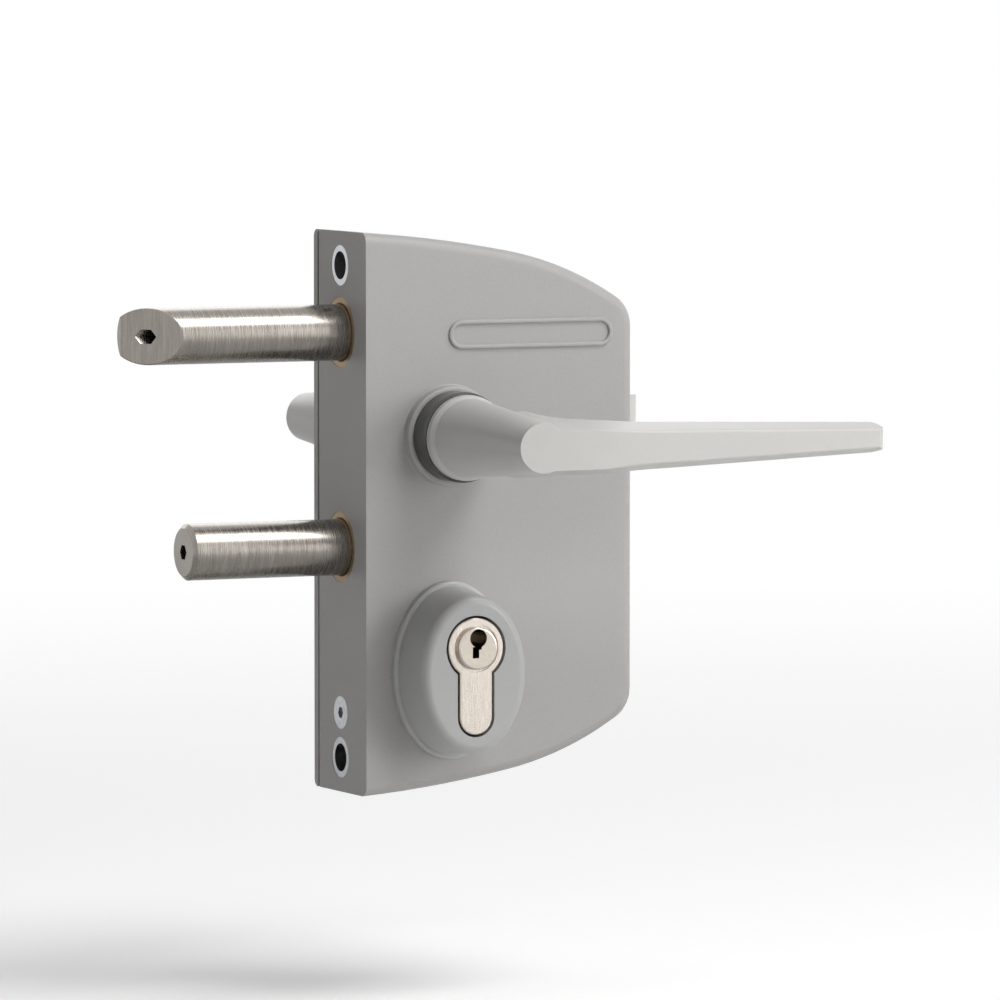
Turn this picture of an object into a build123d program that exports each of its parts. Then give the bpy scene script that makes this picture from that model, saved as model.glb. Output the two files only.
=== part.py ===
from build123d import *
from math import radians, sin
import os

os.makedirs("parts", exist_ok=True)

# Surface-mounted gate lock, in millimetres.
# X = 0 is the face against the gate, +X runs towards the lever tip, -Y is the front, Z = 0 is mid-height.

# Casing
casing_width = 83.9
casing_height = 159.5
casing_depth = 36.0
casing_wall = 2.5
cover_thickness = 2.5
edge_round = 3.0
cover_edge_round = 2.2
gate_edge_round = 1.2
crown_slope = 0.065
knee_x = 45.5
knee_drop = 5.85
corner_drop = 22.5
corner_round = 10.0
cover_gap = 0.15

# Axes of the working parts
axis_x = 25.8
handle_z = 22.0
cylinder_z = -37.0
latch_z = 51.0
bolt_z = -10.0

# Fixing to the gate
mount_spacing = 140.0
mount_hole = 8.0
insert_outside = 11.5
insert_length = 14.0
block_length = 15.5
block_wall = 1.5
block_cover = 1.95
insert_fit = 0.03

# Fits and clearances
running = 0.04
loose = 0.3
seat_gap = 0.1

# Handle ring, bush, lever and spindle
ring_diameter = 28.4
ring_height = 3.6
ring_flare = 0.5
ring_lip_round = 0.9
collar_diameter = 25.6
collar_height = 10.6
collar_seat = 1.0
collar_bevel = 0.6
sleeve_diameter = 22.0
shank_diameter = 17.6
lever_base_diameter = 24.2
lever_bevel = 1.6
lever_neck_start = 14.6
neck_diameter = 22.4
neck_taper = 0.087
lever_reach = 64.0
lever_length = 105.7
neck_overrun = 6.0
blade_end_round = 2.0
blade_inner_round = 6.0
blade_front_round = 0.8
blade_back_round = 2.0
scoop_length = 27.0
scoop_radius = 300.0
spindle_size = 8.0
spindle_fit = 0.05
spindle_stop = 12.0
socket_reach = 50.0
grub_diameter = 6.0
grub_place = 24.0
grub_length = 5.5
grub_socket = 3.0

# Follower
chassis_gap = 19.0
chassis_plate = 2.0
follower_disc = 23.0
follower_disc_depth = 7.0
follower_hub = 18.0
arm_radius = 28.0
arm_lean = 20.0
arm_tip = 7.0
arm_stem = 3.4
arm_stem_free = 9.0
arm_root = 7.0
arm_depth = 6.0
return_arm_radius = 16.0
return_arm_width = 7.0
stop_pin_diameter = 4.0
stop_pin_drop = 14.0
return_spring_outside = 8.0
return_spring_turns = 7
spigot_diameter = 5.0
spigot_length = 4.0

# Latch bolt
bolt_diameter = 16.0
latch_out = 65.0
latch_flat = 2.7
latch_rear = 8.0
hex_size = 4.0
hex_depth = 9.0
tail_length = 22.0
tail_height = 12.0
tail_depth = 13.0
tail_slot_play = 0.5
tail_bridge = 2.8
stud_diameter = 6.0
stud_grip = 18.0
rod_grip = 4.0
rod_diameter = 7.0
rod_end = 58.0
rear_guide_x = 56.0
rear_guide_length = 4.0
rear_guide_height = 14.0
guide_tab = 6.0
guide_tab_width = 3.0
bush_outside = 20.0
bush_flange = 22.0
bush_flange_depth = 1.5
bush_length = 5.8
spring_wire = 1.2
latch_spring_outside = 12.0
latch_spring_turns = 6

# Dead bolt
dead_bolt_out = 48.4
dead_bolt_chamfer = 1.2
dead_bolt_rear = 26.3
dead_bolt_throw = 21.6
dead_tail_height = 12.0
dead_tail_depth = 9.0
guide_pin_x = 44.0
guide_pin_diameter = 5.0
fork_prong = 4.0
fork_play = 1.0
fork_mouth = 2.5
fork_head = 0.8

# Cylinder
profile_round = 17.0
profile_stem = 10.0
profile_height = 33.0
cylinder_proud = 18.2
plug_diameter = 12.0
plug_proud = 1.4
plug_ring = 13.6
plug_ring_depth = 0.6
cam_gap = 12.4
cam_width = 9.4
cam_hub = 14.0
cam_radius = 15.5
cam_lobe = 7.0
cam_clear = 0.5
cam_lean = 60.0
plug_tail = 8.0
clip_thickness = 0.8
clip_diameter = 15.0
clip_groove = 10.4
key_round = 5.2
key_round_up = 2.9
key_jog = 0.8
key_slot = 2.0
key_drop = 6.4
key_depth = 24.0
fixing_drop = 20.2
fixing_diameter = 5.0
fixing_head = 9.4
fixing_socket = 3.0
fixing_short = 1.5

# Rosette
rosette_z = -44.5
rosette_width = 35.8
rosette_length = 50.6
rosette_front_width = 32.0
rosette_front_length = 44.1
rosette_height = 18.0
rosette_flange = 2.2
rosette_lip_round = 0.9
rosette_step = 1.3
rosette_round = 2.4
rosette_wall = 2.6
rosette_clearance = 0.7
rosette_screw_offset = 10.4
rosette_screw_z = -53.5
rosette_screw = 3.0
rosette_screw_head = 5.5
rosette_screw_head_depth = 1.8
rosette_screw_socket = 2.0
rosette_screw_reach = 9.0
rosette_boss = 6.0
rosette_sleeve = 1.8

# Name frame
frame_x = 51.4
frame_z = 50.5
frame_length = 51.5
frame_height = 8.3
frame_rim = 1.3
frame_proud = 0.7

# Screws and posts
cover_screw = 4.0
cover_head = 7.8
cover_screw_length = 20.0
cover_socket = 2.5
cover_socket_depth = 1.8
cover_post = 9.0
upper_post_inset = 9.0
lower_post_inset = 12.5
post_root = 6.0
chassis_screw = 4.0
chassis_head = 7.0
chassis_head_depth = 2.2
chassis_socket = 3.0
chassis_spacer = 7.0
chassis_clear = 1.2
chassis_spots = [(50.0, 34.0), (52.0, -38.0), (68.0, 8.0)]
boss_wall = 0.5

# Worked-out places
half_depth = casing_depth / 2
inner_front = half_depth - casing_wall
cover_plane = half_depth - cover_thickness
plate_inside = chassis_gap / 2
plate_outside = plate_inside + chassis_plate
lever_front = half_depth + lever_reach
block_inside = (mount_spacing - insert_outside) / 2 - block_cover
cover_posts = [(22.0, casing_height / 2 - upper_post_inset), (42.0, lower_post_inset - casing_height / 2),
               (70.0, 41.5), (70.0, -41.5)]
cylinder_half = half_depth + cylinder_proud
handle_spot = (axis_x, handle_z)
cylinder_spot = (axis_x, cylinder_z)
front_plane = Plane.XZ.offset(half_depth)
stop_pin_x = axis_x + (return_arm_width + stop_pin_diameter) / 2 + loose
rosette_screws = [(axis_x + side * rosette_screw_offset, rosette_screw_z) for side in (-1, 1)]
# Blade sections from the handle axis outwards: place, back from the casing, front and back half-heights,
# and how far the section's middle lies below the axis
blade_root_sections = [
    (0.0, 34.0, 5.5, 8.3, 0.6),
    (8.0, 41.0, 5.6, 8.95, 0.6),
    (16.0, 47.0, 5.55, 8.15, 0.85),
    (24.0, 50.6, 5.25, 7.85, 0.85),
]
blade_straight = (32.0, 52.0, 4.8, 7.3, 0.73)
blade_tip = (lever_length, 55.0, 2.8, 4.75, 0.0)
blade_steps = 7


def finish(builder, name):
    builder.part.label = name
    export_step(builder.part, f"parts/{name}.step")


def casing_outline(inset=0.0):
    """The D-shaped outline of the casing, drawn in by inset."""
    top = casing_height / 2
    with BuildSketch() as outline:
        with BuildLine():
            crown = TangentArc((0, top), (knee_x, top - knee_drop), tangent=(1, -crown_slope))
            shoulder = TangentArc(crown @ 1, (casing_width, top - corner_drop), tangent=crown % 1)
            mirror(crown, about=Plane.XZ)
            mirror(shoulder, about=Plane.XZ)
            Line(shoulder @ 1, (casing_width, corner_drop - top))
            Line((0, top), (0, -top))
        make_face()
        fillet(outline.vertices().group_by(Axis.X)[-1], corner_round)
        if inset:
            offset(amount=-inset, kind=Kind.INTERSECTION)
    return outline.sketch


def euro_profile(grow=0.0):
    """The keyhole-shaped outline of the cylinder, grown by grow."""
    drop = profile_height - profile_round / 2
    with BuildSketch() as outline:
        with Locations(cylinder_spot):
            Circle(profile_round / 2 + grow)
        with Locations((axis_x, cylinder_z - (drop - profile_stem / 2) / 2)):
            Rectangle(profile_stem + 2 * grow, drop - profile_stem / 2)
        with Locations((axis_x, cylinder_z - drop + profile_stem / 2)):
            Circle(profile_stem / 2 + grow)
    return outline.sketch


def along_x(x, z):
    """A plane square to X, at height z, whose drawings are placed from the bolt's axis."""
    return Plane(origin=(x, 0, z), x_dir=(0, 1, 0), z_dir=(1, 0, 0))


def at_front(depth):
    """A plane facing the front, depth ahead of the mid-plane."""
    return Plane.XZ.offset(depth)


# Casing: cast box, open at the back
with BuildPart() as casing:
    with BuildSketch(at_front(-cover_plane + cover_gap)):
        add(casing_outline())
    extrude(amount=half_depth + cover_plane - cover_gap)
    front_edges = casing.faces().sort_by(Axis.Y)[0].edges()
    fillet(front_edges.sort_by(Axis.X)[1:], edge_round)
    left_edges = casing.edges().filter_by(Axis.Z).sort_by(Axis.X)[:1]
    fillet(left_edges, gate_edge_round)
    with BuildSketch(at_front(inner_front)):
        add(casing_outline(casing_wall))
        for side in (1, -1):
            with Locations((0, side * (block_inside + casing_height / 2))):
                Rectangle(2 * (block_length + block_wall), casing_height, mode=Mode.SUBTRACT)
    extrude(amount=-inner_front - half_depth, mode=Mode.SUBTRACT)
    # Posts for the back cover and bosses for the chassis
    with BuildSketch(at_front(inner_front)):
        with Locations(cover_posts):
            Circle(cover_post / 2)
    extrude(amount=-inner_front - cover_plane + cover_gap)
    with BuildSketch(at_front(inner_front)):
        with Locations(chassis_spots):
            Circle(chassis_spacer / 2 + boss_wall)
    extrude(amount=plate_outside - inner_front)
    with BuildSketch(at_front(-cover_plane + cover_gap)):
        with Locations(cover_posts):
            Circle(cover_screw / 2)
    extrude(amount=cover_plane + inner_front - post_root, mode=Mode.SUBTRACT)
    with BuildSketch(at_front(plate_outside)):
        with Locations(chassis_spots):
            Circle(chassis_screw / 2)
    extrude(amount=inner_front - plate_outside + 1.0, mode=Mode.SUBTRACT)
    # Handle ring with its flared foot
    with BuildSketch(front_plane):
        with Locations(handle_spot):
            Circle(ring_diameter / 2)
    extrude(amount=ring_height)
    ring_foot = casing.edges().filter_by(GeomType.CIRCLE).filter_by(
        lambda e: abs(e.radius - ring_diameter / 2) < 0.01)
    fillet(ring_foot.sort_by(Axis.Y)[-1], ring_flare)
    ring_lip = casing.edges().filter_by(GeomType.CIRCLE).filter_by(
        lambda e: abs(e.radius - ring_diameter / 2) < 0.01)
    fillet(ring_lip.sort_by(Axis.Y)[0], ring_lip_round)
    with BuildSketch(at_front(half_depth + collar_seat)):
        with Locations(handle_spot):
            Circle(collar_diameter / 2 + running)
    extrude(amount=ring_height, mode=Mode.SUBTRACT)
    with BuildSketch(at_front(inner_front - 1)):
        with Locations(handle_spot):
            Circle(sleeve_diameter / 2 + running)
    extrude(amount=casing_wall + ring_height + 2, mode=Mode.SUBTRACT)
    # Cylinder opening and rosette screw holes
    with BuildSketch(at_front(inner_front - 1)):
        add(euro_profile(rosette_clearance))
        with Locations(rosette_screws):
            Circle(rosette_screw / 2 + seat_gap)
    extrude(amount=casing_wall + 2, mode=Mode.SUBTRACT)
    # Bolt, mounting and fixing-screw holes in the gate side
    for z in (latch_z, bolt_z):
        with BuildSketch(along_x(-1, z)):
            Circle(bush_outside / 2 + running)
        extrude(amount=casing_wall + 2, mode=Mode.SUBTRACT)
    for side in (1, -1):
        with BuildSketch(along_x(-1, side * mount_spacing / 2)):
            Circle(insert_outside / 2 + insert_fit)
        extrude(amount=insert_length + 1, mode=Mode.SUBTRACT)
    with Locations(Plane(origin=(0, 0, cylinder_z - fixing_drop), z_dir=(-1, 0, 0))):
        CounterSinkHole(fixing_diameter / 2 + seat_gap, fixing_head / 2 + 2 * seat_gap, casing_wall * 2, 90)
    # Spigot for the return spring
    with BuildSketch(along_x(casing_wall, handle_z - return_arm_radius)):
        Circle(spigot_diameter / 2)
    extrude(amount=spigot_length)
    # Raised pill-shaped frame
    with BuildSketch(front_plane):
        with Locations((frame_x, frame_z)):
            SlotOverall(frame_length, frame_height)
            SlotOverall(frame_length - 2 * frame_rim, frame_height - 2 * frame_rim, mode=Mode.SUBTRACT)
    extrude(amount=frame_proud)
    rim = casing.faces().filter_by(
        lambda f: f.is_planar and abs(f.center().Y + half_depth + frame_proud) < 0.01)
    fillet(rim.edges(), frame_rim * 0.38)
finish(casing, "casing")

# Back cover: flat plate with the same ring and openings
with BuildPart() as back_cover:
    with BuildSketch(at_front(-half_depth)):
        add(casing_outline())
    extrude(amount=cover_thickness)
    back_edges = back_cover.faces().sort_by(Axis.Y)[-1].edges()
    fillet(back_edges.sort_by(Axis.X)[1:], cover_edge_round)
    with BuildSketch(at_front(-half_depth)):
        with Locations(handle_spot):
            Circle(ring_diameter / 2)
    extrude(amount=-ring_height)
    foot = back_cover.edges().filter_by(GeomType.CIRCLE).filter_by(
        lambda e: abs(e.radius - ring_diameter / 2) < 0.01)
    fillet(foot.sort_by(Axis.Y)[0], ring_flare)
    lip = back_cover.edges().filter_by(GeomType.CIRCLE).filter_by(
        lambda e: abs(e.radius - ring_diameter / 2) < 0.01)
    fillet(lip.sort_by(Axis.Y)[-1], ring_lip_round)
    with BuildSketch(at_front(-half_depth - collar_seat)):
        with Locations(handle_spot):
            Circle(collar_diameter / 2 + running)
    extrude(amount=-ring_height, mode=Mode.SUBTRACT)
    with BuildSketch(at_front(1 - cover_plane)):
        with Locations(handle_spot):
            Circle(sleeve_diameter / 2 + running)
        add(euro_profile(rosette_clearance))
        with Locations(rosette_screws):
            Circle(rosette_screw / 2 + seat_gap)
    extrude(amount=-cover_thickness - ring_height - 2, mode=Mode.SUBTRACT)
    with Locations([Location(Plane(origin=(x, half_depth, z), z_dir=(0, 1, 0))) for x, z in cover_posts]):
        CounterSinkHole(cover_screw / 2 + seat_gap, cover_head / 2 + 2 * seat_gap, cover_thickness * 2, 90)
finish(back_cover, "back_cover")

# Handle bushes: flanged sleeves in which the lever shanks turn
with BuildPart() as front_handle_bush:
    with BuildSketch(at_front(inner_front)):
        with Locations(handle_spot):
            Circle(sleeve_diameter / 2)
    extrude(amount=casing_wall + collar_seat)
    with BuildSketch(at_front(half_depth + collar_seat)):
        with Locations(handle_spot):
            Circle(collar_diameter / 2)
    extrude(amount=collar_height - collar_seat)
    chamfer(front_handle_bush.faces().sort_by(Axis.Y)[0].edges(), collar_bevel)
    with BuildSketch(at_front(inner_front)):
        with Locations(handle_spot):
            Circle(shank_diameter / 2 + running)
    extrude(amount=casing_wall + collar_height, mode=Mode.SUBTRACT)
finish(front_handle_bush, "front_handle_bush")

with BuildPart() as back_handle_bush:
    mirror(front_handle_bush.part, about=Plane.XZ)
finish(back_handle_bush, "back_handle_bush")


def blade_section(along, back, front_half, back_half, sink):
    """One cross-section of the blade, along its length from the handle axis."""
    with BuildSketch(along_x(axis_x + along, handle_z - sink)) as section:
        with BuildLine():
            Polyline(
                (-lever_front, front_half),
                (-lever_front, -front_half),
                (-half_depth - back, -back_half),
                (-half_depth - back, back_half),
                close=True,
            )
        make_face()
        fillet(section.vertices().group_by(Axis.X)[0], blade_front_round)
        fillet(section.vertices().group_by(Axis.X)[-1], blade_back_round)
    return section.sketch


# Front lever: shank, bevelled foot, tapering neck and drawn-out blade with a scooped face
with BuildPart() as front_lever:
    foot_back = half_depth + collar_height + loose
    neck_end = lever_reach + neck_overrun
    with BuildSketch(Plane.XY.offset(handle_z)) as neck_profile:
        with BuildLine():
            Polyline(
                (axis_x, -foot_back),
                (axis_x + lever_base_diameter / 2, -foot_back),
                (axis_x + lever_base_diameter / 2, -half_depth - lever_neck_start + lever_bevel),
                (axis_x + neck_diameter / 2, -half_depth - lever_neck_start),
                (axis_x + neck_diameter / 2 - neck_taper * (neck_end - lever_neck_start),
                 -half_depth - neck_end),
                (axis_x, -half_depth - neck_end),
                close=True,
            )
        make_face()
    revolve(axis=Axis((axis_x, 0, handle_z), (0, 1, 0)))
    blade_sections = [blade_section(*station) for station in blade_root_sections]
    for step in range(blade_steps + 1):
        part_way = step / blade_steps
        station = [a + (b - a) * part_way for a, b in zip(blade_straight, blade_tip)]
        blade_sections.append(blade_section(*station))
    loft(blade_sections)
    # Upright edges of the tip, rounded in plan, the inner one with the larger radius
    tip_x = axis_x + lever_length
    back_slope = (blade_tip[1] - blade_straight[1]) / (blade_tip[0] - blade_straight[0])
    tip_back = half_depth + blade_tip[1] - back_slope * blade_inner_round
    tip_corners = [(blade_end_round, blade_end_round - lever_front, Align.MAX),
                   (blade_inner_round, -tip_back - blade_inner_round, Align.MIN)]
    for radius, centre_y, away in tip_corners:
        with BuildSketch(Plane.XY.offset(handle_z)):
            with Locations((tip_x - radius, centre_y)):
                Rectangle(2 * radius, 2 * radius, align=(Align.MIN, away))
                Circle(radius, mode=Mode.SUBTRACT)
        extrude(amount=neck_diameter, both=True, mode=Mode.SUBTRACT)
    # Scoop that flattens the outer end of the neck and runs out into the blade
    scoop_left = -neck_diameter / 2
    scoop_sag = scoop_radius - (scoop_radius ** 2 - (scoop_length - scoop_left) ** 2) ** 0.5
    with BuildSketch(Plane.XY.offset(handle_z)):
        with BuildLine():
            hollow = TangentArc(
                (axis_x + scoop_length, -lever_front),
                (axis_x + scoop_left, -lever_front + scoop_sag),
                tangent=(-1, 0),
            )
            Polyline(
                hollow @ 1,
                (axis_x + scoop_left, -lever_front - neck_diameter),
                (axis_x + scoop_length, -lever_front - neck_diameter),
                hollow @ 0,
            )
        make_face()
    extrude(amount=neck_diameter, both=True, mode=Mode.SUBTRACT)
    with BuildSketch(at_front(spindle_stop)):
        with Locations(handle_spot):
            Circle(shank_diameter / 2)
    extrude(amount=foot_back - spindle_stop)
    with BuildSketch(at_front(spindle_stop)):
        with Locations(handle_spot):
            Rectangle(spindle_size + 2 * spindle_fit, spindle_size + 2 * spindle_fit)
    extrude(amount=socket_reach - spindle_stop, mode=Mode.SUBTRACT)
    with BuildSketch(Plane.XY.offset(handle_z - lever_base_diameter / 2)):
        with Locations((axis_x, -half_depth - grub_place)):
            Circle(grub_diameter / 2)
    extrude(amount=lever_base_diameter / 2, mode=Mode.SUBTRACT)
finish(front_lever, "front_lever")

with BuildPart() as back_lever:
    mirror(front_lever.part, about=Plane.XZ)
finish(back_lever, "back_lever")

# Square spindle and the grub screws that hold the levers on it
with BuildPart() as spindle:
    with Locations((axis_x, 0, handle_z)):
        Box(spindle_size, 2 * (socket_reach - seat_gap), spindle_size)
    chamfer(spindle.faces().sort_by(Axis.Y)[0].edges(), 0.6)
    chamfer(spindle.faces().sort_by(Axis.Y)[-1].edges(), 0.6)
finish(spindle, "spindle")

with BuildPart() as lever_grub_screws:
    grub_top = handle_z - spindle_size / 2
    grub_spots = [(axis_x, side * (half_depth + grub_place)) for side in (-1, 1)]
    with BuildSketch(Plane.XY.offset(grub_top - grub_length)):
        with Locations(grub_spots):
            Circle(grub_diameter / 2 - running)
    extrude(amount=grub_length)
    with BuildSketch(Plane.XY.offset(grub_top - grub_length)):
        with Locations(grub_spots):
            RegularPolygon(grub_socket / 2, 6, major_radius=False)
    extrude(amount=grub_length / 2, mode=Mode.SUBTRACT)
finish(lever_grub_screws, "lever_grub_screws")

# Follower: hub on the spindle, arm up to the latch tail, arm down to the return spring
with BuildPart() as follower:
    with BuildSketch(at_front(plate_outside)):
        with Locations(handle_spot):
            Circle(follower_hub / 2)
    extrude(amount=-2 * plate_outside)
    with BuildSketch(at_front(follower_disc_depth / 2)):
        with Locations(handle_spot):
            Circle(follower_disc / 2)
    extrude(amount=-follower_disc_depth)
    with BuildSketch(at_front(arm_depth / 2)):
        with Locations(Location((axis_x, handle_z, 0), (0, 0, arm_lean))):
            Rectangle(arm_root, arm_radius - arm_stem_free, align=(Align.CENTER, Align.MIN))
            Rectangle(arm_stem, arm_radius, align=(Align.CENTER, Align.MIN))
            with Locations((0, arm_radius)):
                Circle(arm_tip / 2)
        with Locations(handle_spot):
            Rectangle(return_arm_width, return_arm_radius, align=(Align.CENTER, Align.MAX))
        with Locations((axis_x, handle_z - return_arm_radius)):
            Circle(return_arm_width / 2)
    extrude(amount=-arm_depth)
    with BuildSketch(at_front(plate_outside)):
        with Locations(handle_spot):
            Rectangle(spindle_size + 2 * spindle_fit, spindle_size + 2 * spindle_fit)
    extrude(amount=-2 * plate_outside, mode=Mode.SUBTRACT)
finish(follower, "follower")


def coil(start, end, height, outside, turns):
    """A compression spring between two seats along X."""
    with BuildPart() as spring:
        length = end - start - spring_wire
        with BuildLine() as path:
            Helix(length / turns, length, (outside - spring_wire) / 2,
                  center=(start + spring_wire / 2, 0, height), direction=(1, 0, 0))
        with BuildSketch(path.line ^ 0):
            Circle(spring_wire / 2)
        sweep(path=path.line, is_frenet=True)
    return spring


return_spring_end = axis_x - return_arm_width / 2
return_spring = coil(casing_wall, return_spring_end - loose, handle_z - return_arm_radius,
                     return_spring_outside, return_spring_turns)
finish(return_spring, "return_spring")

# Latch bolt: bevelled head, threaded stud, slotted tail and guide rod
slot_centre = axis_x - arm_radius * sin(radians(arm_lean))
with BuildPart() as latch_head:
    with BuildSketch(along_x(-latch_out, latch_z)):
        Circle(bolt_diameter / 2)
    extrude(amount=latch_out + latch_rear)
    bevel_start = bolt_diameter / 2 - latch_flat
    with BuildSketch(Plane.XY.offset(latch_z - bolt_diameter)):
        with BuildLine():
            Polyline(
                (-latch_out - 1, bevel_start + 1),
                (-latch_out - 1, -bolt_diameter),
                (-latch_out + bevel_start + bolt_diameter, -bolt_diameter),
                close=True,
            )
        make_face()
    extrude(amount=2 * bolt_diameter, mode=Mode.SUBTRACT)
    bevel_face = latch_head.faces().filter_by(
        lambda f: f.is_planar and abs(f.normal_at().X) < 0.9)
    fillet(bevel_face.edges(), 0.35)
    with BuildSketch(along_x(-latch_out, latch_z)):
        RegularPolygon(hex_size / 2, 6, major_radius=False)
    extrude(amount=bevel_start + hex_depth, mode=Mode.SUBTRACT)
    with BuildSketch(along_x(latch_rear, latch_z)):
        Circle(stud_diameter / 2)
    extrude(amount=-stud_grip, mode=Mode.SUBTRACT)
finish(latch_head, "latch_head")

with BuildPart() as latch_tail:
    with BuildSketch(along_x(latch_rear, latch_z)):
        Rectangle(tail_depth, tail_height)
    extrude(amount=tail_length)
    chamfer(latch_tail.edges().filter_by(Axis.X), 0.8)
    with BuildSketch(at_front(tail_depth)):
        with Locations((slot_centre, latch_z - tail_height / 2)):
            Rectangle(arm_tip + 2 * tail_slot_play, tail_height - tail_bridge,
                      align=(Align.CENTER, Align.MIN))
    extrude(amount=-2 * tail_depth, mode=Mode.SUBTRACT)
    with BuildSketch(along_x(latch_rear, latch_z)):
        Circle(stud_diameter / 2)
    extrude(amount=slot_centre - latch_rear, mode=Mode.SUBTRACT)
    with BuildSketch(along_x(latch_rear + tail_length, latch_z)):
        Circle(rod_diameter / 2)
    extrude(amount=-rod_grip, mode=Mode.SUBTRACT)
finish(latch_tail, "latch_tail")

with BuildPart() as latch_stud:
    stud_end = slot_centre - arm_tip / 2 - tail_slot_play - seat_gap
    with BuildSketch(along_x(latch_rear - stud_grip + seat_gap, latch_z)):
        Circle(stud_diameter / 2 - running)
    extrude(amount=stud_end - latch_rear + stud_grip - seat_gap)
finish(latch_stud, "latch_stud")

with BuildPart() as latch_rod:
    rod_start = latch_rear + tail_length - rod_grip + seat_gap
    with BuildSketch(along_x(rod_start, latch_z)):
        Circle(rod_diameter / 2 - running / 2)
    extrude(amount=rod_end - rod_start)
    chamfer(latch_rod.faces().sort_by(Axis.X)[-1].edges(), 0.6)
finish(latch_rod, "latch_rod")

latch_spring = coil(latch_rear + tail_length + loose, rear_guide_x, latch_z,
                    latch_spring_outside, latch_spring_turns)
finish(latch_spring, "latch_spring")

with BuildPart() as latch_rear_guide:
    with BuildSketch(along_x(rear_guide_x, latch_z)):
        Rectangle(chassis_gap, rear_guide_height)
        Circle(rod_diameter / 2 + running, mode=Mode.SUBTRACT)
    extrude(amount=rear_guide_length)
    with BuildSketch(along_x(rear_guide_x + (rear_guide_length - guide_tab_width) / 2, latch_z)):
        for side in (-1, 1):
            with Locations((side * (plate_inside + chassis_plate / 2), 0)):
                Rectangle(chassis_plate, guide_tab)
    extrude(amount=guide_tab_width)
finish(latch_rear_guide, "latch_rear_guide")

# Dead bolt: turned head, stud and flat tail with the fork for the cam
fork_centre = axis_x + dead_bolt_throw / 2
fork_bottom = cylinder_z + cam_hub / 2 + cam_clear
fork_top = cylinder_z + cam_radius + fork_head
tail_bottom = bolt_z - dead_tail_height / 2
with BuildPart() as dead_bolt_head:
    with BuildSketch(along_x(-dead_bolt_out, bolt_z)):
        Circle(bolt_diameter / 2)
    extrude(amount=dead_bolt_out + dead_bolt_rear)
    chamfer(dead_bolt_head.faces().sort_by(Axis.X)[0].edges(), dead_bolt_chamfer)
    with BuildSketch(along_x(-dead_bolt_out, bolt_z)):
        RegularPolygon(hex_size / 2, 6, major_radius=False)
    extrude(amount=hex_depth, mode=Mode.SUBTRACT)
    with BuildSketch(along_x(dead_bolt_rear, bolt_z)):
        Circle(stud_diameter / 2)
    extrude(amount=-stud_grip, mode=Mode.SUBTRACT)
finish(dead_bolt_head, "dead_bolt_head")

with BuildPart() as dead_bolt_tail:
    tail_end = guide_pin_x + dead_bolt_throw + guide_pin_diameter
    with BuildSketch(at_front(dead_tail_depth / 2)):
        with Locations(((dead_bolt_rear + tail_end) / 2, bolt_z)):
            Rectangle(tail_end - dead_bolt_rear, dead_tail_height)
        with Locations((fork_centre, (tail_bottom + fork_bottom) / 2)):
            Rectangle(cam_lobe + 2 * (fork_play + fork_prong), tail_bottom - fork_bottom)
            with Locations((0, (fork_bottom - tail_bottom) / 2)):
                Rectangle(cam_lobe + 2 * fork_play, fork_top - fork_bottom,
                          align=(Align.CENTER, Align.MIN), mode=Mode.SUBTRACT)
        with Locations((guide_pin_x + dead_bolt_throw / 2, bolt_z)):
            SlotCenterToCenter(dead_bolt_throw + 2 * seat_gap, guide_pin_diameter + 2 * seat_gap,
                               mode=Mode.SUBTRACT)
    extrude(amount=-dead_tail_depth)
    mouth = dead_bolt_tail.edges().filter_by(Axis.Y).filter_by(
        lambda e: abs(e.center().Z - fork_bottom) < 0.01
        and abs(abs(e.center().X - fork_centre) - cam_lobe / 2 - fork_play) < 0.01)
    chamfer(mouth, fork_mouth)
    with BuildSketch(along_x(dead_bolt_rear, bolt_z)):
        Circle(stud_diameter / 2)
    extrude(amount=stud_grip / 2, mode=Mode.SUBTRACT)
finish(dead_bolt_tail, "dead_bolt_tail")

with BuildPart() as dead_bolt_stud:
    with BuildSketch(along_x(dead_bolt_rear - stud_grip + seat_gap, bolt_z)):
        Circle(stud_diameter / 2 - running)
    extrude(amount=stud_grip * 1.5 - 2 * seat_gap)
finish(dead_bolt_stud, "dead_bolt_stud")


def guide_bush(height):
    """A flanged bush in the gate side of the casing, in which a bolt slides."""
    with BuildPart() as bush:
        with BuildSketch(along_x(seat_gap, height)):
            Circle(bush_outside / 2)
        extrude(amount=bush_length - seat_gap)
        with BuildSketch(along_x(casing_wall, height)):
            Circle(bush_flange / 2)
        extrude(amount=bush_flange_depth)
        with BuildSketch(along_x(0, height)):
            Circle(bolt_diameter / 2 + running)
        extrude(amount=bush_length, mode=Mode.SUBTRACT)
        chamfer(bush.faces().sort_by(Axis.X)[0].inner_wires()[0].edges(), 0.4)
    return bush


finish(guide_bush(latch_z), "latch_guide_bush")
finish(guide_bush(bolt_z), "dead_bolt_guide_bush")

# Threaded inserts for the two bolts through the gate
with BuildPart() as thread_inserts:
    for side in (1, -1):
        with BuildSketch(along_x(seat_gap, side * mount_spacing / 2)):
            Circle(insert_outside / 2)
            Circle(mount_hole / 2, mode=Mode.SUBTRACT)
        extrude(amount=insert_length - seat_gap)
finish(thread_inserts, "thread_inserts")

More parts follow.
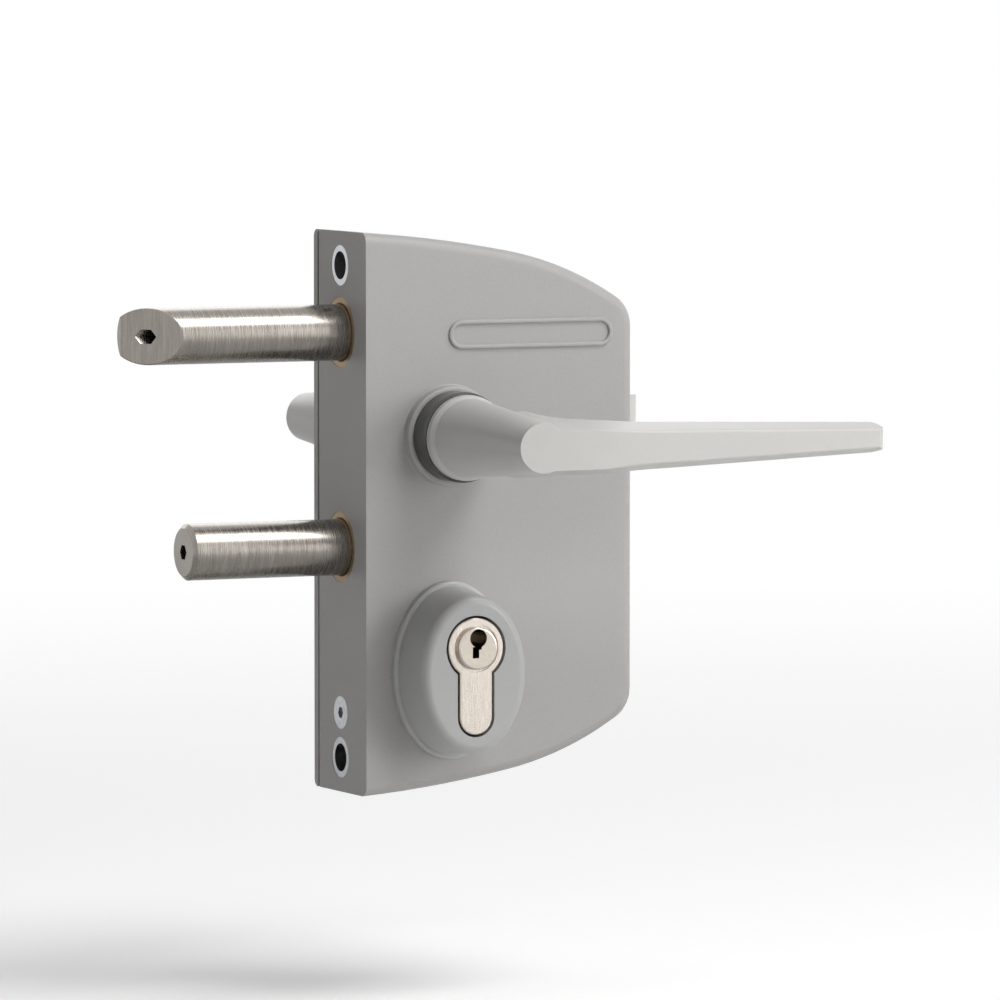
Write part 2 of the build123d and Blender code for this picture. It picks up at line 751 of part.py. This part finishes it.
# Chassis: two plates held apart by spacers, with pins across
corner_cut = cover_posts[0][0] + cover_post / 2 + loose
with BuildPart() as front_chassis_plate:
    with BuildSketch(at_front(plate_outside)):
        add(casing_outline(casing_wall + chassis_clear))
        Rectangle(2 * (bush_length + loose), casing_height, mode=Mode.SUBTRACT)
        for side in (1, -1):
            with Locations((0, side * (block_inside - chassis_clear + casing_height / 2))):
                Rectangle(2 * corner_cut, casing_height, mode=Mode.SUBTRACT)
        with Locations(handle_spot):
            Circle(follower_hub / 2 + running, mode=Mode.SUBTRACT)
        add(euro_profile(loose), mode=Mode.SUBTRACT)
        with Locations(cover_posts):
            Circle(cover_post / 2 + loose, mode=Mode.SUBTRACT)
        with Locations(chassis_spots):
            Circle(chassis_screw / 2 + seat_gap, mode=Mode.SUBTRACT)
        with Locations((guide_pin_x, bolt_z)):
            Circle(guide_pin_diameter / 2, mode=Mode.SUBTRACT)
        with Locations((stop_pin_x, handle_z - stop_pin_drop)):
            Circle(stop_pin_diameter / 2, mode=Mode.SUBTRACT)
        with Locations((rear_guide_x + rear_guide_length / 2, latch_z)):
            Rectangle(guide_tab_width, guide_tab, mode=Mode.SUBTRACT)
    extrude(amount=-chassis_plate)
finish(front_chassis_plate, "front_chassis_plate")

with BuildPart() as back_chassis_plate:
    mirror(front_chassis_plate.part, about=Plane.XZ)
finish(back_chassis_plate, "back_chassis_plate")

with BuildPart() as chassis_spacers:
    with BuildSketch(at_front(plate_inside)):
        with Locations(chassis_spots):
            Circle(chassis_spacer / 2)
            Circle(chassis_screw / 2 + seat_gap, mode=Mode.SUBTRACT)
    extrude(amount=-chassis_gap)
finish(chassis_spacers, "chassis_spacers")

with BuildPart() as chassis_screws:
    with BuildSketch(at_front(inner_front - seat_gap)):
        with Locations(chassis_spots):
            Circle(chassis_screw / 2 - running)
    extrude(amount=seat_gap - inner_front - plate_outside)
    with BuildSketch(at_front(-plate_outside)):
        with Locations(chassis_spots):
            Circle(chassis_head / 2)
    extrude(amount=-chassis_head_depth)
    with BuildSketch(at_front(-plate_outside - chassis_head_depth)):
        with Locations(chassis_spots):
            RegularPolygon(chassis_socket / 2, 6, major_radius=False)
    extrude(amount=chassis_head_depth * 0.7, mode=Mode.SUBTRACT)
finish(chassis_screws, "chassis_screws")

with BuildPart() as bolt_guide_pin:
    with BuildSketch(at_front(plate_outside)):
        with Locations((guide_pin_x, bolt_z)):
            Circle(guide_pin_diameter / 2 - running / 2)
    extrude(amount=-2 * plate_outside)
finish(bolt_guide_pin, "bolt_guide_pin")

with BuildPart() as follower_stop_pin:
    with BuildSketch(at_front(plate_outside)):
        with Locations((stop_pin_x, handle_z - stop_pin_drop)):
            Circle(stop_pin_diameter / 2 - running / 2)
    extrude(amount=-2 * plate_outside)
finish(follower_stop_pin, "follower_stop_pin")

# Cylinder: double profile body, plugs, clips, cam and fixing screw
with BuildPart() as cylinder_body:
    with BuildSketch(at_front(cylinder_half)):
        add(euro_profile())
    extrude(amount=-2 * cylinder_half)
    cylinder_ends = cylinder_body.faces().sort_by(Axis.Y)
    chamfer([*cylinder_ends[0].edges(), *cylinder_ends[-1].edges()], 0.3)
    with BuildSketch(at_front(cam_gap / 2)):
        with Locations(cylinder_spot):
            Circle(cam_radius + cam_clear)
    extrude(amount=-cam_gap, mode=Mode.SUBTRACT)
    with BuildSketch(at_front(cylinder_half)):
        with Locations(cylinder_spot):
            Circle(plug_diameter / 2 + running)
    extrude(amount=-2 * cylinder_half, mode=Mode.SUBTRACT)
    for side in (1, -1):
        with BuildSketch(at_front(side * cylinder_half)):
            with Locations(cylinder_spot):
                Circle(plug_ring / 2)
        extrude(amount=-side * plug_ring_depth, mode=Mode.SUBTRACT)
    with BuildSketch(along_x(0, cylinder_z - fixing_drop)):
        Circle(fixing_diameter / 2)
    extrude(amount=casing_width, mode=Mode.SUBTRACT)
finish(cylinder_body, "cylinder_body")

with BuildPart() as front_plug:
    with BuildSketch(at_front(cam_width / 2 + loose)):
        with Locations(cylinder_spot):
            Circle(plug_diameter / 2)
    extrude(amount=cylinder_half + plug_proud - cam_width / 2 - loose)
    fillet(front_plug.faces().sort_by(Axis.Y)[0].edges(), 0.5)
    with BuildSketch(at_front(cam_gap / 2 - seat_gap)):
        with Locations(cylinder_spot):
            Circle(plug_diameter)
            Circle(clip_groove / 2, mode=Mode.SUBTRACT)
    extrude(amount=-clip_thickness - seat_gap, mode=Mode.SUBTRACT)
    with BuildSketch(at_front(seat_gap)):
        with Locations(cylinder_spot):
            Circle(plug_tail / 2)
    extrude(amount=cam_width / 2 + loose)
    with BuildSketch(at_front(cylinder_half + plug_proud)):
        with Locations((axis_x, cylinder_z + key_round_up)):
            Circle(key_round / 2)
        with Locations((axis_x, cylinder_z + key_round_up)):
            Rectangle(key_slot, key_drop / 2, align=(Align.CENTER, Align.MAX))
        with Locations((axis_x - key_jog, cylinder_z + key_round_up - key_drop / 2 + key_jog)):
            Rectangle(key_slot, key_drop / 2, align=(Align.CENTER, Align.MAX))
    extrude(amount=-key_depth, mode=Mode.SUBTRACT)
finish(front_plug, "front_plug")

with BuildPart() as back_plug:
    mirror(front_plug.part, about=Plane.XZ)
finish(back_plug, "back_plug")

with BuildPart() as front_plug_clip:
    with BuildSketch(at_front(cam_gap / 2 - 1.5 * seat_gap)):
        with Locations(cylinder_spot):
            Circle(clip_diameter / 2)
            Circle(clip_groove / 2 + running, mode=Mode.SUBTRACT)
            Rectangle(clip_groove * 0.6, clip_diameter, align=(Align.CENTER, Align.MAX), mode=Mode.SUBTRACT)
    extrude(amount=-clip_thickness)
finish(front_plug_clip, "front_plug_clip")

with BuildPart() as back_plug_clip:
    mirror(front_plug_clip.part, about=Plane.XZ)
finish(back_plug_clip, "back_plug_clip")

with BuildPart() as cylinder_cam:
    with BuildSketch(at_front(cam_width / 2)):
        with Locations(cylinder_spot):
            Circle(cam_hub / 2)
        with Locations(Location((axis_x, cylinder_z, 0), (0, 0, -cam_lean))):
            Rectangle(cam_lobe, cam_radius - cam_lobe / 2, align=(Align.CENTER, Align.MIN))
            with Locations((0, cam_radius - cam_lobe / 2)):
                Circle(cam_lobe / 2)
        with Locations(cylinder_spot):
            Circle(plug_tail / 2 + running, mode=Mode.SUBTRACT)
    extrude(amount=-cam_width)
finish(cylinder_cam, "cylinder_cam")

with BuildPart() as cylinder_fixing_screw:
    with BuildSketch(along_x(seat_gap, cylinder_z - fixing_drop)):
        Circle(fixing_diameter / 2 - running)
    extrude(amount=axis_x + profile_stem / 2 - fixing_short)
    with BuildSketch(along_x(seat_gap, cylinder_z - fixing_drop)):
        Circle(fixing_head / 2)
    extrude(amount=(fixing_head - fixing_diameter) / 2, taper=45)
    with BuildSketch(along_x(seat_gap, cylinder_z - fixing_drop)):
        RegularPolygon(fixing_socket / 2, 6, major_radius=False)
    extrude(amount=2, mode=Mode.SUBTRACT)
finish(cylinder_fixing_screw, "cylinder_fixing_screw")


def oval(width, length, depth):
    """An oval of the rosette, drawn depth ahead of the mid-plane."""
    with BuildSketch(at_front(depth)) as outline:
        with Locations((axis_x, rosette_z)):
            Ellipse(width / 2, length / 2)
    return outline.sketch


# Front rosette: oval cap on a thin flange, hollow behind, with two screw bosses
with BuildPart() as front_rosette:
    extrude(oval(rosette_width, rosette_length, half_depth), amount=rosette_flange)
    fillet(front_rosette.faces().sort_by(Axis.Y)[0].edges(), rosette_lip_round)
    foot_depth = half_depth + rosette_flange - seat_gap
    cap_front = half_depth + rosette_height
    loft([
        oval(rosette_width - 2 * rosette_step, rosette_length - 2 * rosette_step, foot_depth),
        oval(rosette_front_width, rosette_front_length, cap_front),
    ])
    fillet(front_rosette.faces().sort_by(Axis.Y)[0].edges(), rosette_round)
    inside = 2 * (rosette_step + rosette_wall)
    loft([
        oval(rosette_width - inside, rosette_length - inside, half_depth),
        oval(rosette_front_width - inside + rosette_step, rosette_front_length - inside + rosette_step,
             cap_front - rosette_wall),
    ], mode=Mode.SUBTRACT)
    with BuildSketch(at_front(half_depth)):
        add(euro_profile(rosette_clearance + rosette_sleeve))
        with Locations(rosette_screws):
            Circle(rosette_boss / 2)
    extrude(amount=rosette_height - rosette_wall / 2)
    with BuildSketch(at_front(half_depth)):
        add(euro_profile(rosette_clearance))
    extrude(amount=rosette_height, mode=Mode.SUBTRACT)
    with BuildSketch(at_front(half_depth)):
        with Locations(rosette_screws):
            Circle(rosette_screw / 2)
    extrude(amount=rosette_screw_reach, mode=Mode.SUBTRACT)
finish(front_rosette, "front_rosette")

with BuildPart() as back_rosette:
    mirror(front_rosette.part, about=Plane.XZ)
finish(back_rosette, "back_rosette")

with BuildPart() as front_rosette_screws:
    with BuildSketch(at_front(inner_front)):
        with Locations(rosette_screws):
            Circle(rosette_screw / 2 - running)
    extrude(amount=casing_wall + rosette_screw_reach - seat_gap)
    with BuildSketch(at_front(inner_front)):
        with Locations(rosette_screws):
            Circle(rosette_screw_head / 2)
    extrude(amount=-rosette_screw_head_depth)
    with BuildSketch(at_front(inner_front - rosette_screw_head_depth)):
        with Locations(rosette_screws):
            RegularPolygon(rosette_screw_socket / 2, 6, major_radius=False)
    extrude(amount=rosette_screw_head_depth * 0.7, mode=Mode.SUBTRACT)
finish(front_rosette_screws, "front_rosette_screws")

with BuildPart() as back_rosette_screws:
    mirror(front_rosette_screws.part, about=Plane.XZ)
finish(back_rosette_screws, "back_rosette_screws")

# Countersunk screws that hold the back cover
with BuildPart() as cover_screws:
    with BuildSketch(at_front(seat_gap - half_depth)):
        with Locations(cover_posts):
            Circle(cover_screw / 2 - running)
    extrude(amount=cover_screw_length)
    with BuildSketch(at_front(seat_gap - half_depth)):
        with Locations(cover_posts):
            Circle(cover_head / 2)
    extrude(amount=(cover_head - cover_screw) / 2, taper=45)
    with BuildSketch(at_front(seat_gap - half_depth)):
        with Locations(cover_posts):
            RegularPolygon(cover_socket / 2, 6, major_radius=False)
    extrude(amount=cover_socket_depth, mode=Mode.SUBTRACT)
finish(cover_screws, "cover_screws")
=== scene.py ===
import math

import bmesh
import bpy
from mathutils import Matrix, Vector


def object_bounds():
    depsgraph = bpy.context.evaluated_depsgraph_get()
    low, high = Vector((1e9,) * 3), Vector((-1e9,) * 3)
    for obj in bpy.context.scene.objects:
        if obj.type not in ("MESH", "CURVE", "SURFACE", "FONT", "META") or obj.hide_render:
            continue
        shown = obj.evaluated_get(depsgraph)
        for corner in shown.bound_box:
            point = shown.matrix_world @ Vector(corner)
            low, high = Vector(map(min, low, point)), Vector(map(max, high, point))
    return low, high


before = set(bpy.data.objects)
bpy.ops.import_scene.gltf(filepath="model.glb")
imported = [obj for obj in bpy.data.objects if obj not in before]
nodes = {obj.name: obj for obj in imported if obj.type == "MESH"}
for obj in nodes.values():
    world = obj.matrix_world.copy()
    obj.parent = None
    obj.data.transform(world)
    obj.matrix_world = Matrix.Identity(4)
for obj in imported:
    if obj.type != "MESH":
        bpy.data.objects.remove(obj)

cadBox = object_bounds()
print("frame loaded:", len(nodes), "nodes")

mmPerMetre = 1000

# where the photograph was taken from, in millimetres and degrees round the lock
shot = {
    "distance": 2450.0,
    "turn": -25.26,
    "rise": 4.0,
    "pixelsPerMm": 3.493,
    "aim": (50.2, 0.0, 1.85),
    "pixels": 1000.0,
    "sensor": 36.0,
    "clipNear": 0.05,  # these two in metres
    "clipFar": 100.0,
}


def placeCamera():
    turn, rise = math.radians(shot["turn"]), math.radians(shot["rise"])
    level = math.cos(rise)
    back = Vector((math.sin(turn) * level, -math.cos(turn) * level, math.sin(rise)))
    camera = bpy.data.cameras.new("photoCamera")
    camera.sensor_width = shot["sensor"]
    camera.lens = shot["pixelsPerMm"] * shot["distance"] * shot["sensor"] / shot["pixels"]
    camera.clip_start = shot["clipNear"]
    camera.clip_end = shot["clipFar"]
    holder = bpy.data.objects.new("photoCamera", camera)
    bpy.context.collection.objects.link(holder)
    holder.location = (Vector(shot["aim"]) + back * shot["distance"]) / mmPerMetre
    holder.rotation_mode = "QUATERNION"
    holder.rotation_quaternion = (-back).to_track_quat("-Z", "Y")
    bpy.context.scene.camera = holder


placeCamera()
print("camera placed")


# small helpers for building node trees
def emptyTree(owner):
    owner.use_nodes = True
    owner.node_tree.nodes.clear()
    return owner.node_tree


# a socket takes a plain value, or a link from another node
def fill(tree, socket, value):
    if isinstance(value, bpy.types.NodeSocket):
        tree.links.new(value, socket)
    else:
        socket.default_value = value


def mathNode(tree, operation, first, second):
    node = tree.nodes.new("ShaderNodeMath")
    node.operation = operation
    fill(tree, node.inputs[0], first)
    fill(tree, node.inputs[1], second)
    return node.outputs[0]


# adds up values, each times its weight
def weighedSum(tree, *parts):
    total = None
    for value, weight in reversed(parts):
        part = mathNode(tree, "MULTIPLY", value, weight)
        total = part if total is None else mathNode(tree, "ADD", part, total)
    return total


def noiseNode(tree, vector, scale, detail, roughness=0.5):
    node = tree.nodes.new("ShaderNodeTexNoise")
    fill(tree, node.inputs["Vector"], vector)
    fill(tree, node.inputs["Scale"], scale)
    fill(tree, node.inputs["Detail"], detail)
    fill(tree, node.inputs["Roughness"], roughness)
    return node.outputs["Fac"]


# where the Mix node keeps its factor, its two colours and its mixed colour
mixSockets = {"factor": 0, "first": 6, "second": 7, "mixed": 2}


def mixColour(tree, factor, first, second):
    node = tree.nodes.new("ShaderNodeMix")
    node.data_type = "RGBA"
    fill(tree, node.inputs[mixSockets["factor"]], factor)
    fill(tree, node.inputs[mixSockets["first"]], first)
    fill(tree, node.inputs[mixSockets["second"]], second)
    return node.outputs[mixSockets["mixed"]]


# noise mostly stays inside this band
noiseBand = {"low": 0.3, "high": 0.7}


# turns a noise value into one from low to high
def spread(tree, value, low, high):
    node = tree.nodes.new("ShaderNodeMapRange")
    fill(tree, node.inputs["Value"], value)
    fill(tree, node.inputs["From Min"], noiseBand["low"])
    fill(tree, node.inputs["From Max"], noiseBand["high"])
    fill(tree, node.inputs["To Min"], low)
    fill(tree, node.inputs["To Max"], high)
    return node.outputs["Result"]


# both surface groups take and give the same things, and every finish sets its own values
groupInputs = {
    "Vector": "NodeSocketVector",
    "Size": "NodeSocketFloat",
    "Light": "NodeSocketColor",
    "Dark": "NodeSocketColor",
    "Gloss": "NodeSocketFloat",
    "Gloss Spread": "NodeSocketFloat",
}
groupOutputs = {
    "Color": "NodeSocketColor",
    "Roughness": "NodeSocketFloat",
    "Height": "NodeSocketFloat",
}


def newGroup(name):
    group = bpy.data.node_groups.new(name, "ShaderNodeTree")
    for label, kind in groupInputs.items():
        group.interface.new_socket(name=label, in_out="INPUT", socket_type=kind)
    for label, kind in groupOutputs.items():
        group.interface.new_socket(name=label, in_out="OUTPUT", socket_type=kind)
    return group, group.nodes.new("NodeGroupInput"), group.nodes.new("NodeGroupOutput")


# shade picks the colour between dark and light, and unevenness varies the gloss
def closeGroup(group, start, end, shade, unevenness, height):
    amount = spread(group, shade, 0.0, 1.0)
    colour = mixColour(group, amount, start.outputs["Dark"], start.outputs["Light"])
    gloss, glossSpread = start.outputs["Gloss"], start.outputs["Gloss Spread"]
    low = mathNode(group, "SUBTRACT", gloss, glossSpread)
    high = mathNode(group, "ADD", gloss, glossSpread)
    group.links.new(colour, end.inputs["Color"])
    group.links.new(spread(group, unevenness, low, high), end.inputs["Roughness"])
    group.links.new(height, end.inputs["Height"])
    return group


# fine grain of a powder coat or a blasted surface: specks, coarser grain and wide soft clouds
grain = {
    "speckDetail": 1.0,
    "coarseSize": 0.31,  # as a share of the specks' scale
    "coarseDetail": 3.0,
    "cloudScale": 35.0,
    "cloudDetail": 3.0,
    "shade": {"speck": 0.55, "coarse": 0.25, "cloud": 0.2},
    "height": {"speck": 0.4, "coarse": 0.6},
}


def makeGrainGroup():
    group, start, end = newGroup("coatGrain")
    vector, size = start.outputs["Vector"], start.outputs["Size"]
    coarseScale = mathNode(group, "MULTIPLY", size, grain["coarseSize"])
    speck = noiseNode(group, vector, size, grain["speckDetail"])
    coarse = noiseNode(group, vector, coarseScale, grain["coarseDetail"])
    cloud = noiseNode(group, vector, grain["cloudScale"], grain["cloudDetail"])
    shade = weighedSum(group, (speck, grain["shade"]["speck"]),
                       (coarse, grain["shade"]["coarse"]), (cloud, grain["shade"]["cloud"]))
    height = weighedSum(group, (speck, grain["height"]["speck"]),
                        (coarse, grain["height"]["coarse"]))
    return closeGroup(group, start, end, shade, cloud, height)


# fine lines of turned or brushed metal, drawn out by the Mapping node before the group
turned = {
    "fineDetail": 3.0,
    "fineRoughness": 0.6,
    "broadSize": 0.23,  # as a share of the fine lines' scale
    "broadDetail": 2.0,
    "shade": {"fine": 0.65, "broad": 0.35},
}


def makeTurnedGroup():
    group, start, end = newGroup("turnedLines")
    vector, size = start.outputs["Vector"], start.outputs["Size"]
    broadScale = mathNode(group, "MULTIPLY", size, turned["broadSize"])
    fine = noiseNode(group, vector, size, turned["fineDetail"], turned["fineRoughness"])
    broad = noiseNode(group, vector, broadScale, turned["broadDetail"])
    shade = weighedSum(group, (fine, turned["shade"]["fine"]), (broad, turned["shade"]["broad"]))
    return closeGroup(group, start, end, shade, fine, fine)


groups = {"grain": makeGrainGroup(), "turned": makeTurnedGroup()}

# what a finish has where it doesn't say otherwise
plainFinish = {"stretch": (1, 1, 1), "coat": 0.0, "coatRoughness": 0.2}


# object coordinates go through a Mapping node into a shared group, and its height into a Bump node
def makeFinish(name, settings):
    look = {**plainFinish, **settings}
    material = bpy.data.materials.new(name)
    tree = emptyTree(material)
    out = tree.nodes.new("ShaderNodeOutputMaterial")
    shader = tree.nodes.new("ShaderNodeBsdfPrincipled")
    place = tree.nodes.new("ShaderNodeTexCoord")
    mapping = tree.nodes.new("ShaderNodeMapping")
    group = tree.nodes.new("ShaderNodeGroup")
    bump = tree.nodes.new("ShaderNodeBump")
    group.node_tree = groups[look["pattern"]]

    mapping.inputs["Scale"].default_value = look["stretch"]
    group.inputs["Size"].default_value = look["size"]
    group.inputs["Light"].default_value = (*look["light"], 1)
    group.inputs["Dark"].default_value = (*look["dark"], 1)
    group.inputs["Gloss"].default_value = look["roughness"]
    group.inputs["Gloss Spread"].default_value = look["roughnessSpread"]
    bump.inputs["Strength"].default_value = look["bump"]
    bump.inputs["Distance"].default_value = look["bumpDepth"]
    shader.inputs["Metallic"].default_value = look["metallic"]
    shader.inputs["Coat Weight"].default_value = look["coat"]
    shader.inputs["Coat Roughness"].default_value = look["coatRoughness"]

    tree.links.new(place.outputs["Object"], mapping.inputs["Vector"])
    tree.links.new(mapping.outputs["Vector"], group.inputs["Vector"])
    tree.links.new(group.outputs["Color"], shader.inputs["Base Color"])
    tree.links.new(group.outputs["Roughness"], shader.inputs["Roughness"])
    tree.links.new(group.outputs["Height"], bump.inputs["Height"])
    tree.links.new(bump.outputs["Normal"], shader.inputs["Normal"])
    tree.links.new(shader.outputs["BSDF"], out.inputs["Surface"])
    return material


# bumpDepth is in metres, and a larger size makes a finer pattern
finishes = {
    "castCoat": {
        "nodes": ["casing", "back_cover"],
        "pattern": "grain", "size": 3400.0,
        "light": (0.435, 0.424, 0.415), "dark": (0.37, 0.361, 0.353),
        "roughness": 0.5, "roughnessSpread": 0.03, "metallic": 0.0,
        "bump": 0.3, "bumpDepth": 0.00005,
    },
    "rosetteCoat": {
        "nodes": ["front_rosette", "back_rosette"],
        "pattern": "grain", "size": 4200.0,
        "light": (0.48, 0.48, 0.475), "dark": (0.43, 0.43, 0.425),
        "roughness": 0.38, "roughnessSpread": 0.03, "metallic": 0.0,
        "bump": 0.18, "bumpDepth": 0.00004,
    },
    # the handle bushes' near-black colour is painted shade: the collar is silver and looks dark
    # only where it faces dark surroundings
    "darkBushPaintedShade": {
        "nodes": ["front_handle_bush", "back_handle_bush"],
        "pattern": "grain", "size": 900.0,
        "light": (0.05, 0.05, 0.05), "dark": (0.035, 0.035, 0.035),
        "roughness": 0.3, "roughnessSpread": 0.04, "metallic": 0.0,
        "bump": 0.05, "bumpDepth": 0.00003,
        "coat": 0.3, "coatRoughness": 0.15,
    },
    "satinLever": {
        "nodes": ["front_lever", "back_lever"],
        "pattern": "grain", "size": 5200.0,
        "light": (0.61, 0.60, 0.58), "dark": (0.56, 0.55, 0.53),
        "roughness": 0.36, "roughnessSpread": 0.03, "metallic": 0.0,
        "bump": 0.12, "bumpDepth": 0.00003,
    },
    "groundSteel": {
        "nodes": ["latch_head", "dead_bolt_head"],
        "pattern": "turned", "stretch": (1, 0.03, 0.03), "size": 5200.0,
        "light": (0.36, 0.335, 0.305), "dark": (0.21, 0.19, 0.17),
        "roughness": 0.27, "roughnessSpread": 0.09, "metallic": 1.0,
        "bump": 0.25, "bumpDepth": 0.00002,
    },
    "nickelPlate": {
        "nodes": ["cylinder_body", "cylinder_cam"],
        "pattern": "turned", "stretch": (1, 1, 0.04), "size": 5000.0,
        "light": (0.67, 0.61, 0.55), "dark": (0.57, 0.515, 0.46),
        "roughness": 0.24, "roughnessSpread": 0.06, "metallic": 0.9,
        "bump": 0.1, "bumpDepth": 0.00002,
    },
    "polishedNickel": {
        "nodes": ["front_plug", "back_plug"],
        "pattern": "grain", "size": 1500.0,
        "light": (0.66, 0.60, 0.53), "dark": (0.58, 0.52, 0.455),
        "roughness": 0.16, "roughnessSpread": 0.04, "metallic": 1.0,
        "bump": 0.05, "bumpDepth": 0.00002,
    },
    "bushBronze": {
        "nodes": ["latch_guide_bush", "dead_bolt_guide_bush"],
        "pattern": "grain", "size": 1500.0,
        "light": (0.36, 0.27, 0.16), "dark": (0.22, 0.16, 0.09),
        "roughness": 0.45, "roughnessSpread": 0.08, "metallic": 0.9,
        "bump": 0.2, "bumpDepth": 0.00005,
    },
    "zincPlate": {
        "nodes": ["spindle", "lever_grub_screws", "follower", "latch_tail", "latch_stud",
                  "latch_rod", "latch_rear_guide", "dead_bolt_tail", "dead_bolt_stud",
                  "thread_inserts", "front_chassis_plate", "back_chassis_plate",
                  "chassis_spacers", "chassis_screws", "bolt_guide_pin", "follower_stop_pin",
                  "cylinder_fixing_screw", "front_rosette_screws", "back_rosette_screws",
                  "cover_screws", "front_plug_clip", "back_plug_clip"],
        "pattern": "grain", "size": 700.0,
        "light": (0.6, 0.61, 0.62), "dark": (0.44, 0.45, 0.47),
        "roughness": 0.3, "roughnessSpread": 0.1, "metallic": 1.0,
        "bump": 0.1, "bumpDepth": 0.00003,
    },
    "springWire": {
        "nodes": ["return_spring", "latch_spring"],
        "pattern": "grain", "size": 1200.0,
        "light": (0.34, 0.34, 0.35), "dark": (0.2, 0.2, 0.21),
        "roughness": 0.33, "roughnessSpread": 0.08, "metallic": 1.0,
        "bump": 0.1, "bumpDepth": 0.00003,
    },
}

for finishName, finishSettings in finishes.items():
    finish = makeFinish(finishName, finishSettings)
    for nodeName in finishSettings["nodes"]:
        mesh = nodes[nodeName].data
        mesh.materials.clear()
        mesh.materials.append(finish)
print("finishes made:", len(finishes))


# floor and world, in metres; a strength of white is seen as white
stage = {
    "drop": 0.06,  # from the lock's lowest point down to the floor
    "reach": 8.0,
    "colour": (0.9, 0.9, 0.9),
    "lift": 0.3,  # what the camera sees on top of the lit floor
    "fadeStart": 0.35,
    "fadeEnd": 1.6,
    "worldLevel": 0.1,
    "white": 1.0,
}


# 1 where a ray comes from the camera, metal or glass, and 0 where it only carries light
def seenMask(tree, path):
    seen = mathNode(tree, "MAXIMUM", path.outputs["Is Camera Ray"], path.outputs["Is Glossy Ray"])
    return mathNode(tree, "MAXIMUM", seen, path.outputs["Is Transmission Ray"])


# a matt floor near the lock, which melts into the white surroundings farther out
def makeFloorMaterial():
    material = bpy.data.materials.new("paleFloor")
    tree = emptyTree(material)
    out = tree.nodes.new("ShaderNodeOutputMaterial")
    matt = tree.nodes.new("ShaderNodeBsdfDiffuse")
    path = tree.nodes.new("ShaderNodeLightPath")
    lift = tree.nodes.new("ShaderNodeEmission")
    near = tree.nodes.new("ShaderNodeAddShader")
    far = tree.nodes.new("ShaderNodeEmission")
    place = tree.nodes.new("ShaderNodeTexCoord")
    distance = tree.nodes.new("ShaderNodeVectorMath")
    fade = tree.nodes.new("ShaderNodeMapRange")
    blended = tree.nodes.new("ShaderNodeMixShader")

    matt.inputs["Color"].default_value = (*stage["colour"], 1)
    far.inputs["Strength"].default_value = stage["white"]
    distance.operation = "LENGTH"
    fade.interpolation_type = "SMOOTHSTEP"
    fade.inputs["From Min"].default_value = stage["fadeStart"]
    fade.inputs["From Max"].default_value = stage["fadeEnd"]
    lifted = mathNode(tree, "MULTIPLY", path.outputs["Is Camera Ray"], stage["lift"])
    faded = mathNode(tree, "MULTIPLY", seenMask(tree, path), fade.outputs["Result"])

    tree.links.new(lifted, lift.inputs["Strength"])
    tree.links.new(matt.outputs[0], near.inputs[0])
    tree.links.new(lift.outputs[0], near.inputs[1])
    tree.links.new(place.outputs["Object"], distance.inputs[0])
    tree.links.new(distance.outputs["Value"], fade.inputs["Value"])
    tree.links.new(faded, blended.inputs["Fac"])
    tree.links.new(near.outputs[0], blended.inputs[1])
    tree.links.new(far.outputs[0], blended.inputs[2])
    tree.links.new(blended.outputs[0], out.inputs["Surface"])
    return material


def makeFloor():
    low = cadBox[0].z - stage["drop"]
    shape = bmesh.new()
    bmesh.ops.create_grid(shape, x_segments=1, y_segments=1, size=stage["reach"])
    bmesh.ops.translate(shape, verts=shape.verts, vec=(0, 0, low))
    mesh = bpy.data.meshes.new("floor")
    shape.to_mesh(mesh)
    shape.free()
    mesh.materials.append(makeFloorMaterial())
    floor = bpy.data.objects.new("floor", mesh)
    bpy.context.collection.objects.link(floor)


# white where it is seen, and dim where it lights the lock
def makeWorld():
    world = bpy.data.worlds.new("studio")
    bpy.context.scene.world = world
    tree = emptyTree(world)
    out = tree.nodes.new("ShaderNodeOutputWorld")
    back = tree.nodes.new("ShaderNodeBackground")
    path = tree.nodes.new("ShaderNodeLightPath")
    level = tree.nodes.new("ShaderNodeMapRange")
    level.inputs["To Min"].default_value = stage["worldLevel"]
    level.inputs["To Max"].default_value = stage["white"]
    back.inputs["Color"].default_value = (1, 1, 1, 1)
    tree.links.new(seenMask(tree, path), level.inputs["Value"])
    tree.links.new(level.outputs["Result"], back.inputs["Strength"])
    tree.links.new(back.outputs[0], out.inputs["Surface"])


# softboxes, in metres and watts, all turned towards the same point on the lock
lampAim = Vector((0.03, 0.0, 0.0))
lamps = {
    "topSoftbox": {"place": (0.6, -0.9, 1.5), "size": (1.2, 0.8), "power": 23.0},
    "rightSoftbox": {"place": (1.4, -1.6, 0.3), "size": (0.8, 1.2), "power": 19.0},
    "leftFill": {"place": (-1.6, -1.4, 0.5), "size": (1.0, 1.2), "power": 0.5},
    "backSoftbox": {"place": (0.3, 1.6, 1.0), "size": (1.4, 1.2), "power": 7.0},
}


def makeLamp(name, settings):
    lamp = bpy.data.lights.new(name, "AREA")
    lamp.shape = "RECTANGLE"
    lamp.size, lamp.size_y = settings["size"]
    lamp.energy = settings["power"]
    holder = bpy.data.objects.new(name, lamp)
    bpy.context.collection.objects.link(holder)
    holder.location = settings["place"]
    aim = lampAim - Vector(settings["place"])
    holder.rotation_euler = aim.to_track_quat("-Z", "Y").to_euler()


makeFloor()
makeWorld()
for lampName, lampSettings in lamps.items():
    makeLamp(lampName, lampSettings)
bpy.context.scene.view_settings.view_transform = "Standard"
print("stage and lamps set")
